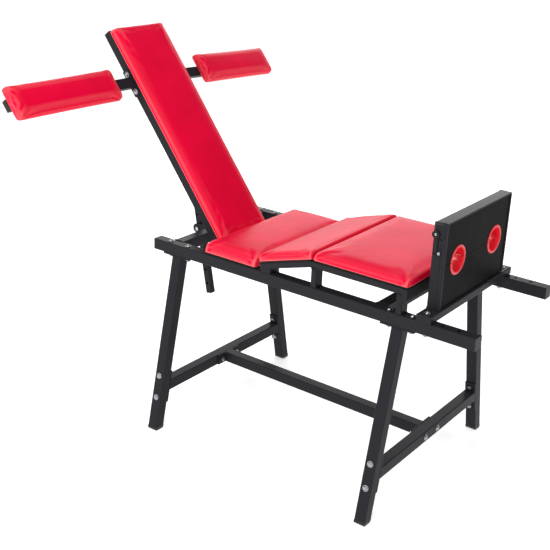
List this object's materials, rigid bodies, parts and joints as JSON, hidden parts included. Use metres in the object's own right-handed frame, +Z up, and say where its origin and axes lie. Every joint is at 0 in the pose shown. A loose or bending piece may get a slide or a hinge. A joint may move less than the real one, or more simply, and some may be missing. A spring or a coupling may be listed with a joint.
{
  "type": "adjustable padded bench",
  "caption": "Steel bench with a reclining padded back and arm rests, ridged leg rest and an upright ankle board that opens.",
  "frame": {"origin": "on the floor under the middle of the whole bench", "axes": "+X from the back rest towards the ankle board, +Y across to the far side, +Z up"},
  "size_m": [1.6451, 1.3966, 1.3754],
  "materials": {
    "red_vinyl": "soft sheen upholstery vinyl",
    "red_lining": "glossy padded lining",
    "zinc_steel": "bright zinc plate",
    "black_plastic": "moulded plug",
    "black_panel": "black painted sheet",
    "black_board": "black painted backing board",
    "plain_steel": "turned rod",
    "black_frame": "black powder coat"
  },
  "bodies": {
    "bench": {"board_base": "black_frame", "board_bolts": "zinc_steel", "board_hinge_lower": "black_frame", "board_posts": "black_frame", "calf_frame": "black_frame", "calf_pad": "red_vinyl", "foot_caps": "black_plastic", "front_crossbar": "black_frame", "hinge_lugs": "black_frame", "hinge_rod": "plain_steel", "latch_stud": "zinc_steel", "leg_boards": "black_board", "leg_bolts": "zinc_steel", "legs_front": "black_frame", "legs_rear": "black_frame", "lock_nut": "zinc_steel", "lower_bolts": "zinc_steel", "lower_crossbar_front": "black_frame", "lower_crossbar_rear": "black_frame", "lower_panel": "black_panel", "lower_rim": "black_frame", "lower_sleeves": "red_lining", "pad_posts": "black_frame", "rail_end_caps": "black_plastic", "rear_crossbar": "black_frame", "seat_board": "black_board", "seat_crossbar": "black_frame", "seat_pad": "red_vinyl", "side_rail_far": "black_frame", "side_rail_near": "black_frame", "small_end_caps": "black_frame", "stretcher": "black_frame", "strut_cheeks": "black_frame", "thigh_frame": "black_frame", "thigh_pad": "red_vinyl"},
    "back": {"back_side_tubes": "black_frame", "back_cross_tubes": "black_frame", "back_hinge_barrels": "black_frame", "back_board": "black_board", "back_pad": "red_vinyl", "arm_bar_near": "black_frame", "arm_bar_far": "black_frame", "arm_pad_near": "red_vinyl", "arm_pad_far": "red_vinyl", "arm_bar_caps": "black_plastic", "arm_boards": "black_board", "arm_bolts": "zinc_steel", "strut_pivot_bolt": "zinc_steel"},
    "strut": {"strut": "black_frame", "strut_end_cap": "black_plastic"},
    "lock_pin": {"lock_pin": "zinc_steel"},
    "gate": {"upper_panel": "black_panel", "upper_rim": "black_frame", "upper_sleeves": "red_lining", "top_bar": "black_frame", "top_bar_caps": "black_plastic", "board_hinge_upper": "black_frame", "latch_screw": "black_frame"},
    "hook": {"latch_hook": "black_frame"}
  },
  "joints": [
    {"name": "back_tilt", "type": "hinge", "parent": "bench", "child": "back", "pos_m": [-0.30556, 0, 0.70011], "axis": [0, 1, 0], "range_deg": [-10, 30]},
    {"name": "strut_swing", "type": "hinge", "parent": "back", "child": "strut", "pos_m": [-0.513, 0, 0.91202], "axis": [0, 1, 0], "range_deg": [-5, 3]},
    {"name": "lock_pin_pull", "type": "slide", "parent": "bench", "child": "lock_pin", "axis": [0, -1, 0], "range_m": [0, 0.02]},
    {"name": "gate_swing", "type": "hinge", "parent": "bench", "child": "gate", "pos_m": [0.6415, 0.2222, 0.9315], "axis": [-1, 0, 0], "range_deg": [0, 100]},
    {"name": "hook_swing", "type": "hinge", "parent": "gate", "child": "hook", "pos_m": [0.634, -0.2195, 0.947], "axis": [0, -1, 0], "range_deg": [-60, 14.7]}
  ],
  "couplings": [
    {"joint": "strut_swing", "follows": "back_tilt", "ratio": -0.13}
  ]
}
